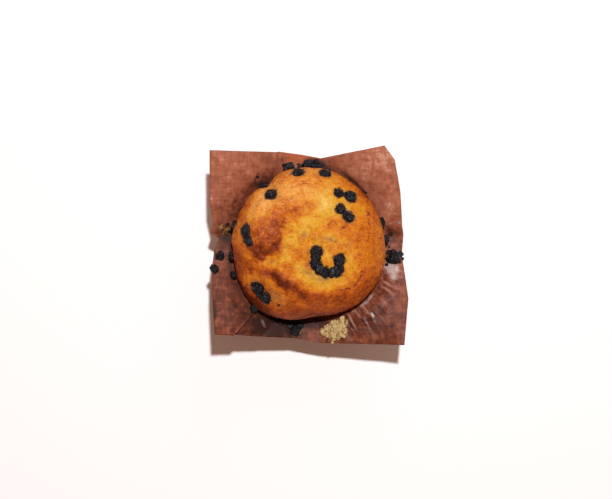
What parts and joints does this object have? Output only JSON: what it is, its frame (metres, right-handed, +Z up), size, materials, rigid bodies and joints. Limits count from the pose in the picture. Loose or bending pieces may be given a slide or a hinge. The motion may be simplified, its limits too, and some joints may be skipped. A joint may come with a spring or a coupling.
{
  "type": "muffin",
  "caption": "Domed blueberry muffin in a square brown paper tulip case with flared corners, with small dark berries in its crust and a few loose ones on the paper.",
  "frame": {"origin": "centre of the paper case's flat base, on the surface that the muffin stands on", "axes": "+Z up along the muffin's axis; X and Y along the sides of the case's square sheet, with the side where the paper is pulled down from the crust at -Y"},
  "size_m": [0.1034, 0.1034, 0.067],
  "materials": {
    "crust": "golden baked crust, satin, from pale yellow in the fissures to brown on the ridges",
    "paper": "red-brown greaseproof paper, matt, with darker greasy patches",
    "berry_skin": "blue-black baked berry skin, wrinkled, slightly glossy"
  },
  "bodies": {
    "root": {"muffin": "crust", "tulip_case": "paper", "berry_01": "berry_skin", "berry_02": "berry_skin", "berry_03": "berry_skin", "berry_04": "berry_skin", "berry_05": "berry_skin", "berry_06": "berry_skin", "berry_07": "berry_skin", "berry_08": "berry_skin", "berry_09": "berry_skin", "berry_10": "berry_skin", "berry_11": "berry_skin", "berry_12": "berry_skin", "berry_13": "berry_skin", "berry_14": "berry_skin", "berry_15": "berry_skin", "berry_16": "berry_skin", "berry_17": "berry_skin", "berry_18": "berry_skin", "berry_19": "berry_skin", "berry_20": "berry_skin", "berry_21": "berry_skin", "berry_22": "berry_skin", "berry_23": "berry_skin", "berry_24": "berry_skin", "berry_25": "berry_skin", "berry_26": "berry_skin", "berry_27": "berry_skin", "berry_28": "berry_skin", "berry_29": "berry_skin"}
  },
  "joints": []
}
